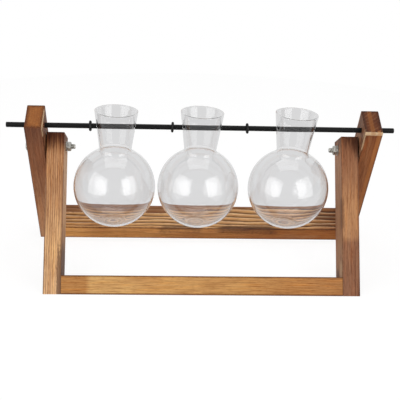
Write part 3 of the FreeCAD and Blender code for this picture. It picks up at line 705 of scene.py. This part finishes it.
def blend_arc(ball_radius, neck_base, neck_top, radius):
    """Centre and end angles of the fillet between the ball and the neck's straight side."""
    run = Vector((neck_top[0] - neck_base[0], neck_top[1] - neck_base[1]))
    normal = Vector((run.y, -run.x)).normalized()
    origin = Vector(neck_base)
    # The centre lies one radius outside the neck's line and one outside the ball.
    offset = origin + normal * radius
    direction = run.normalized()
    along = -offset.dot(direction)
    gap = (ball_radius + radius) ** 2 - (offset + direction * along).length_squared
    centre = offset + direction * (along + math.sqrt(gap))
    on_ball = -centre.normalized()
    on_neck = -normal
    return centre, math.atan2(on_ball.y, on_ball.x), math.atan2(on_neck.y, on_neck.x)


def wall_profile(ball_radius, neck_base_radius, mouth_radius, blend, low_angle):
    """One face of the glass, from the base ring up to just under the rim."""
    joint_height = math.sqrt(ball_radius ** 2 - neck_base_radius ** 2)
    base = (neck_base_radius, joint_height)
    top = (mouth_radius, RIM_ABOVE_CENTRE - GLASS_WALL / 2)
    centre, on_ball, on_neck = blend_arc(ball_radius, base, top, blend)
    ball_end = math.atan2(centre.y, centre.x)
    points = arc_points((0, 0), ball_radius, low_angle, ball_end, ARC_STEPS)
    if on_neck > on_ball:
        on_neck -= 2 * math.pi
    points += arc_points(centre, blend, on_ball, on_neck, BLEND_STEPS)[1:]
    start = points[-1]
    for step in range(1, NECK_STEPS + 1):
        share = step / NECK_STEPS
        points.append((start[0] + (top[1] - start[0]) * share, start[1] + (top[0] - start[1]) * share))
    return points


def dome_points(edge_height, crown_height, radius):
    """A shallow dome from its edge to its crown on the axis."""
    points = []
    for step in range(DOME_STEPS + 1):
        share = step / DOME_STEPS
        rise = 1 - (1 - share) ** 2
        points.append((edge_height + (crown_height - edge_height) * rise, radius * (1 - share)))
    return points


def vase_profile():
    """The closed half section of a vase, from the dimple under its base to the floor inside."""
    outer_low = -math.acos(BASE_RADIUS / BULB_RADIUS)
    inner_radius = BULB_RADIUS - GLASS_WALL
    inner_low = -math.acos(BASE_RADIUS / inner_radius)
    base_height = BULB_RADIUS * math.sin(outer_low)
    dimple = base_height + BASE_DIMPLE
    outer = wall_profile(BULB_RADIUS, NECK_BASE_RADIUS, MOUTH_RADIUS, NECK_BLEND, outer_low)
    inner = wall_profile(inner_radius, NECK_BASE_RADIUS - GLASS_WALL, MOUTH_RADIUS - GLASS_WALL,
                         NECK_BLEND + GLASS_WALL, inner_low)
    rim_centre = (MOUTH_RADIUS - GLASS_WALL / 2, RIM_ABOVE_CENTRE - GLASS_WALL / 2)
    rim = arc_points(rim_centre, GLASS_WALL / 2, 0, math.pi, RIM_STEPS)[1:-1]
    under = list(reversed(dome_points(base_height, dimple, BASE_RADIUS)))[:-1]
    floor = dome_points(inner_radius * math.sin(inner_low), dimple + BASE_WALL, BASE_RADIUS)[1:]
    return under + outer + rim + list(reversed(inner)) + floor


def blow_unevenly(shape, centre, seed):
    """Pull the surfaces in by up to a fifth of a millimetre here and there, as blown glass has it."""
    for vertex in shape.verts:
        out = vertex.co - centre
        wave = noise.noise(Vector((seed, 0, 0)) + out * UNEVEN_SCALE)
        if out.z > BULB_RADIUS:
            out.z = 0
        vertex.co -= out.normalized() * UNEVEN_DEPTH * (0.5 + 0.5 * wave)


def cut_holes(piece, centre, lean):
    """Drill the neck along X and soften the ground edges of both holes."""
    shape = bmesh.new()
    across = centre + Vector((math.sin(lean), 0, math.cos(lean))) * HOLE_ABOVE_CENTRE
    bmesh.ops.create_cone(shape, cap_ends=True, segments=HOLE_SEGMENTS,
                          radius1=HOLE_RADIUS, radius2=HOLE_RADIUS, depth=4 * MOUTH_RADIUS,
                          matrix=Matrix.Translation(across) @ Matrix.Rotation(math.pi / 2, 4, "Y"))
    cut_away(piece, shape)
    shape = bmesh.new()
    shape.from_mesh(piece.data)
    rim = [edge for edge in shape.edges
           if edge.is_manifold and edge.calc_face_angle() > HOLE_EDGE_ANGLE
           and all(abs(math.hypot(end.co.y - across.y, end.co.z - across.z) - HOLE_RADIUS) < HOLE_BEVEL
                   for end in edge.verts)]
    bmesh.ops.bevel(shape, geom=rim, offset=HOLE_BEVEL, segments=2, profile=0.5, affect="EDGES")
    for face in shape.faces:
        face.smooth = True
    shape.to_mesh(piece.data)
    shape.free()


def make_vases():
    glass = glass_material()
    profile = vase_profile()
    for number, side in enumerate(SIDES):
        lean = VASE_LEANS[side]
        joint = Vector(JOINTS[side + "_vase_swing"]["pos_m"])
        hole_level = joint.z - HOLE_RADIUS + ROD_RADIUS + HANG_GAP
        centre = Vector((joint.x, joint.y, hole_level - HOLE_ABOVE_CENTRE * math.cos(lean)))
        shape = bmesh.new()
        lathe(shape, profile, Matrix.Translation(centre) @ Matrix.Rotation(lean, 4, "Y"), GLASS_SEGMENTS)
        blow_unevenly(shape, centre, number * UNEVEN_SEED_STEP)
        piece = finish_piece("blown_vase_" + side, shape, glass, side + "_vase",
                             "vase_" + side)
        cut_holes(piece, centre, lean)


# Rod and rings.

ROD_SEGMENTS = 48
ROD_END_ROUND = 0.0006
ROD_END_ANGLES = (math.radians(30), math.radians(60), math.radians(90))
ROD_ROWS = 40
ROD_GRAIN_SCALE = 1400.0
ROD_STREAK_SCALES = (12, 260, 260)
RUBBER_GRAIN_SCALE = 1600.0
RING_SECTION_RADIUS = 0.0013
RING_PLAY = 0.00006
RING_RADIUS = ROD_RADIUS + RING_PLAY + RING_SECTION_RADIUS
RING_SEGMENTS = 64
RING_SECTION_STEPS = 28
RING_SEAM = 0.00008
RING_TILTS = {"left": 0.0, "middle": math.radians(3), "right": math.radians(-2)}


def rod_material():
    material, graph = new_material("satin_black_rod")
    place = graph.add("TexCoord").outputs["Object"]
    grain = graph.noise(place, ROD_GRAIN_SCALE, 3.0)
    streak = graph.streaks(place, ROD_STREAK_SCALES, 3.0)
    colour = graph.mix(graph.fit(streak, 0.4, 0.7), srgb(9, 9, 9), srgb(17, 17, 17))
    bump = graph.add("Bump", {"Strength": 0.15, "Distance": 0.0001, "Height": grain}).outputs[0]
    rough = graph.fit(streak, 0.3, 0.7, 0.36, 0.48)
    shader = graph.add("BsdfPrincipled", {"Base Color": colour, "Roughness": rough, "Normal": bump,
                                          "Specular IOR Level": 0.14})
    graph.surface(shader.outputs[0])
    return material


def rubber_material():
    material, graph = new_material("black_rubber_ring")
    grain = graph.noise(graph.add("TexCoord").outputs["Object"], RUBBER_GRAIN_SCALE, 3.0)
    colour = graph.mix(graph.fit(grain, 0.35, 0.7), srgb(10, 10, 10), srgb(20, 19, 19))
    bump = graph.add("Bump", {"Strength": 0.25, "Distance": 0.0001, "Height": grain}).outputs[0]
    rough = graph.fit(grain, 0.3, 0.7, 0.5, 0.65)
    shader = graph.add("BsdfPrincipled", {"Base Color": colour, "Roughness": rough, "Normal": bump,
                                          "Specular IOR Level": 0.25})
    graph.surface(shader.outputs[0])
    return material


def make_rod():
    low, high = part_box("hanging_rod")
    length = high.x - low.x
    near_end = [(0, 0), (0, ROD_RADIUS - ROD_END_ROUND)]
    near_end += [(ROD_END_ROUND * (1 - math.cos(angle)), ROD_RADIUS - ROD_END_ROUND * (1 - math.sin(angle)))
                 for angle in ROD_END_ANGLES]
    inner = length - 2 * ROD_END_ROUND
    middle = [(ROD_END_ROUND + inner * row / ROD_ROWS, ROD_RADIUS) for row in range(1, ROD_ROWS)]
    far_end = [(length - along, radius) for along, radius in reversed(near_end)]
    shape = bmesh.new()
    start = Vector((low.x, ROD_AXIS.y, ROD_AXIS.z))
    matrix = Matrix.Translation(start) @ Matrix.Rotation(math.pi / 2, 4, "Y")
    lathe(shape, near_end + middle + far_end, matrix, ROD_SEGMENTS)
    finish_piece("black_rod", shape, rod_material(), "rod", "hanging_rod")


def make_rings():
    rubber = rubber_material()
    for side in SIDES:
        node = "o_ring_" + side
        low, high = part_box(node)
        centre = (low + high) / 2
        matrix = (Matrix.Translation(centre) @ Matrix.Rotation(RING_TILTS[side], 4, "Y")
                  @ Matrix.Rotation(math.pi / 2, 4, "Y"))
        shape = bmesh.new()
        rows = []
        for turn in range(RING_SEGMENTS):
            angle = 2 * math.pi * turn / RING_SEGMENTS
            row = []
            for step in range(RING_SECTION_STEPS):
                section = 2 * math.pi * step / RING_SECTION_STEPS
                seam = RING_SEAM if step in (0, RING_SECTION_STEPS // 2) else 0
                radius = RING_RADIUS + (RING_SECTION_RADIUS - RING_SEAM + seam) * math.cos(section)
                height = (RING_SECTION_RADIUS - RING_SEAM) * math.sin(section)
                row.append(shape.verts.new(turned_place(matrix, angle, radius, height)))
            rows.append(row)
        for turn in range(RING_SEGMENTS):
            here, there = rows[turn], rows[(turn + 1) % RING_SEGMENTS]
            for step in range(RING_SECTION_STEPS):
                after = (step + 1) % RING_SECTION_STEPS
                shape.faces.new((here[step], there[step], there[after], here[after]))
        finish_piece("rubber_ring_" + side, shape, rubber, side + "_ring", node)


# Metal fasteners.

TURNED_SEGMENTS = 48
BOLT_PITCH = 0.0008
BOLT_THREAD_DEPTH = 0.00045
BOLT_THREAD_LENGTH = 0.016
BOLT_END_BEVEL = 0.0005
THREAD_ROWS_PER_TURN = 6
HEAD_HEIGHT = 0.0028
HEAD_RIM = 0.0009
HEAD_FLAT_SHARE = 0.45
HEAD_DOME_SHARES = (0.3, 0.55, 0.75, 0.9, 1.0)
SOCKET_FLATS = 0.003
SOCKET_DEPTH = 0.0016
NUT_FLATS = 0.008
NUT_CHAMFER_RADIUS = 0.0038
NUT_CHAMFER_ANGLE = math.radians(30)
WASHER_BEVEL = 0.00012
BORE_PLAY = 0.00008
SCREW_RADIUS = 0.00175
SCREW_CORE_RADIUS = 0.0012
SCREW_HEAD_RADIUS = 0.0035
SCREW_HEAD_DEPTH = 0.00175
SCREW_HEAD_MIDDLE_SHARE = 0.3
SCREW_TIP = 0.004
SCREW_POINT_SHARE = 0.05
SCREW_PITCH = 0.0016
SCREW_PLAIN_SHARE = 0.35
CROSS_REACH = 0.0019
CROSS_WIDTH = 0.0005
CROSS_DEPTH = 0.0014
SHARP_ANGLE = math.radians(32)
WELD_DISTANCE = 1e-6
ZINC_SPOT_SCALE = 420.0


def zinc_material():
    material, graph = new_material("zinc_plate")
    place = graph.add("TexCoord").outputs["Object"]
    spots = graph.noise(place, ZINC_SPOT_SCALE, 3.0, 0.6)
    colour = graph.mix(graph.fit(spots, 0.3, 0.75), srgb(158, 157, 152), srgb(206, 204, 197))
    rough = graph.fit(spots, 0.3, 0.7, 0.26, 0.42)
    shader = graph.add("BsdfPrincipled", {"Base Color": colour, "Metallic": 1.0, "Roughness": rough})
    graph.surface(shader.outputs[0])
    return material


def bridge(shape, rows):
    """Join neighbouring closed rows of corners with faces."""
    for low, high in zip(rows, rows[1:]):
        for step in range(len(low)):
            after = (step + 1) % len(low)
            shape.faces.new((low[step], low[after], high[after], high[step]))


def hexagon_reach(angle, flats):
    """Distance from the middle of a hexagon to its side at an angle."""
    return flats / 2 / math.cos((angle + math.pi / 6) % (math.pi / 3) - math.pi / 6)


def add_row(shape, matrix, along, reach):
    """A closed row of corners round an axis; along and reach may depend on the angle."""
    row = []
    for step in range(TURNED_SEGMENTS):
        angle = 2 * math.pi * step / TURNED_SEGMENTS
        radius = reach(angle) if callable(reach) else reach
        height = along(angle) if callable(along) else along
        row.append(shape.verts.new(turned_place(matrix, angle, radius, height)))
    return row


def thread_reach(along, pitch, depth, radius):
    """Radius of a ridge that winds round an axis, at one place along it."""
    def reach(angle):
        turn = (along / pitch - angle / (2 * math.pi)) % 1
        return radius - depth * abs(2 * turn - 1)

    return reach


def add_thread(shape, matrix, start, end, pitch, depth, radius):
    """Rows of a thread from start to end, a few to each turn."""
    count = round((end - start) / (pitch / THREAD_ROWS_PER_TURN))
    rows = []
    for number in range(count + 1):
        along = start + (end - start) * number / count
        rows.append(add_row(shape, matrix, along, thread_reach(along, pitch, depth, radius)))
    return rows


def axis_matrix(x, y, z, heading):
    """A frame at a place whose Z axis runs along X, to the right for +1 and to the left for -1."""
    return Matrix.Translation((x, y, z)) @ Matrix.Rotation(heading * math.pi / 2, 4, "Y")


def sharpen(piece):
    piece.data.set_sharp_from_angle(angle=SHARP_ANGLE)


def build_bolt(shape, matrix, length, radius, head_radius):
    """Button head bolt: a hexagon socket, a plain shank, and a thread up to the far end."""
    def socket(angle):
        return hexagon_reach(angle, SOCKET_FLATS)

    floor = SOCKET_DEPTH - HEAD_HEIGHT
    rows = [add_row(shape, matrix, floor, socket), add_row(shape, matrix, -HEAD_HEIGHT, socket)]
    shape.faces.new(rows[0])
    flat = head_radius * HEAD_FLAT_SHARE
    rows.append(add_row(shape, matrix, -HEAD_HEIGHT, flat))
    for share in HEAD_DOME_SHARES:
        drop = (HEAD_HEIGHT - HEAD_RIM) * (1 - math.sqrt(1 - share ** 2))
        rows.append(add_row(shape, matrix, drop - HEAD_HEIGHT, flat + (head_radius - flat) * share))
    rows.append(add_row(shape, matrix, 0, head_radius))
    rows.append(add_row(shape, matrix, 0, radius))
    thread_start = length - BOLT_THREAD_LENGTH
    rows.append(add_row(shape, matrix, thread_start, radius))
    rows += add_thread(shape, matrix, thread_start + BOLT_PITCH / 2, length - BOLT_END_BEVEL,
                       BOLT_PITCH, BOLT_THREAD_DEPTH, radius)
    rows.append(add_row(shape, matrix, length, radius - BOLT_END_BEVEL))
    bridge(shape, rows)
    shape.faces.new(rows[-1])


def build_nut(shape, matrix, thickness, bore):
    """Hexagon nut whose corners are turned down at both ends."""
    def drop(angle):
        return (hexagon_reach(angle, NUT_FLATS) - NUT_CHAMFER_RADIUS) * math.tan(NUT_CHAMFER_ANGLE)

    def side(angle):
        return hexagon_reach(angle, NUT_FLATS)

    lead = BOLT_THREAD_DEPTH
    rows = [
        add_row(shape, matrix, lead, bore),
        add_row(shape, matrix, 0, bore + lead),
        add_row(shape, matrix, 0, NUT_CHAMFER_RADIUS),
        add_row(shape, matrix, drop, side),
        add_row(shape, matrix, lambda angle: thickness - drop(angle), side),
        add_row(shape, matrix, thickness, NUT_CHAMFER_RADIUS),
        add_row(shape, matrix, thickness, bore + lead),
        add_row(shape, matrix, thickness - lead, bore),
    ]
    bridge(shape, rows + rows[:1])


def build_washer(shape, matrix, thickness, bore, radius):
    """Flat washer with eased edges."""
    bevel = WASHER_BEVEL
    outline = ((bevel, bore), (0, bore + bevel), (0, radius - bevel), (bevel, radius),
               (thickness - bevel, radius), (thickness, radius - bevel), (thickness, bore + bevel),
               (thickness - bevel, bore))
    rows = [add_row(shape, matrix, along, reach) for along, reach in outline]
    bridge(shape, rows + rows[:1])


def build_screw(shape, matrix, length):
    """Countersunk wood screw with its point at the far end."""
    thread_start = SCREW_HEAD_DEPTH + (length - SCREW_HEAD_DEPTH) * SCREW_PLAIN_SHARE
    thread_end = length - SCREW_TIP
    outline = ((0, SCREW_HEAD_RADIUS * SCREW_HEAD_MIDDLE_SHARE), (0, SCREW_HEAD_RADIUS),
               (SCREW_HEAD_DEPTH, SCREW_RADIUS), (thread_start, SCREW_RADIUS))
    rows = [add_row(shape, matrix, along, reach) for along, reach in outline]
    shape.faces.new(rows[0])
    rows += add_thread(shape, matrix, thread_start + SCREW_PITCH / 2, thread_end, SCREW_PITCH,
                       SCREW_RADIUS - SCREW_CORE_RADIUS, SCREW_RADIUS)
    rows.append(add_row(shape, matrix, length, SCREW_RADIUS * SCREW_POINT_SHARE))
    bridge(shape, rows)
    shape.faces.new(rows[-1])


def cut_cross(piece, matrices):
    """Cut the cross recess into every screw head of a piece."""
    shape = bmesh.new()
    for matrix in matrices:
        for across, along in ((CROSS_REACH, CROSS_WIDTH), (CROSS_WIDTH, CROSS_REACH)):
            size = Matrix.Diagonal((2 * across, 2 * along, 2 * CROSS_DEPTH, 1))
            bmesh.ops.create_cube(shape, size=1, matrix=matrix @ size)
    cut_away(piece, shape, crossing=True)


def islands(node):
    """Boxes of the separate solids of a CAD node, always in the same order."""
    shape = bmesh.new()
    shape.from_mesh(frame["nodes"][node].data)
    bmesh.ops.remove_doubles(shape, verts=shape.verts, dist=WELD_DISTANCE)
    waiting = set(shape.verts)
    boxes = []
    while waiting:
        group = [waiting.pop()]
        for vertex in group:
            for edge in vertex.link_edges:
                other = edge.other_vert(vertex)
                if other in waiting:
                    waiting.remove(other)
                    group.append(other)
        spans = [[vertex.co[axis] for vertex in group] for axis in range(3)]
        boxes.append([Vector(pick(span) for span in spans) for pick in (min, max)])
    shape.free()
    return sorted(boxes, key=lambda box: tuple(box[0]))


def fasten_pivot(side, heading, zinc):
    """The bolt, washers and nut of one pivot; heading is the way the bolt points along X."""
    def finish(shape, name, node):
        sharpen(finish_piece(side + name, shape, zinc, "rear_frame", side + node))

    low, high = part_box(side + "_pivot_bolt")
    outer_x = low.x if heading > 0 else high.x
    shape = bmesh.new()
    start = axis_matrix(outer_x + heading * HEAD_HEIGHT, PIVOT.y, PIVOT.z, heading)
    build_bolt(shape, start, high.x - low.x - HEAD_HEIGHT, BOLT_RADIUS, (high.z - low.z) / 2)
    finish(shape, "_button_bolt", "_pivot_bolt")
    for node in ("_head_washer", "_spacer_washer", "_nut_washer", "_pivot_nut"):
        low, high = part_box(side + node)
        start = axis_matrix(low.x if heading > 0 else high.x, PIVOT.y, PIVOT.z, heading)
        shape = bmesh.new()
        if node == "_pivot_nut":
            build_nut(shape, start, high.x - low.x, BOLT_RADIUS)
        else:
            build_washer(shape, start, high.x - low.x, BOLT_RADIUS + BORE_PLAY, (high.z - low.z) / 2)
        finish(shape, node + "_zinc", node)


def fasten_rail(node, body, zinc):
    """The four wood screws of one rail, pointing inwards."""
    shape = bmesh.new()
    starts = []
    for low, high in islands(node):
        heading = 1 if low.x + high.x < 0 else -1
        head_x = low.x if heading > 0 else high.x
        start = axis_matrix(head_x, (low.y + high.y) / 2, (low.z + high.z) / 2, heading)
        build_screw(shape, start, high.x - low.x)
        starts.append(start)
    piece = finish_piece(node + "_zinc", shape, zinc, body, node)
    cut_cross(piece, starts)
    sharpen(piece)


def make_fasteners():
    zinc = zinc_material()
    fasten_pivot("left", 1, zinc)
    fasten_pivot("right", -1, zinc)
    fasten_rail("front_rail_screws", "front_frame", zinc)
    fasten_rail("rear_rail_screws", "rear_frame", zinc)


make_camera()
make_world()
make_floor()
make_lamps()
dress_wood()
make_vases()
make_rod()
make_rings()
make_fasteners()
bpy.context.scene.view_settings.view_transform = "Standard"
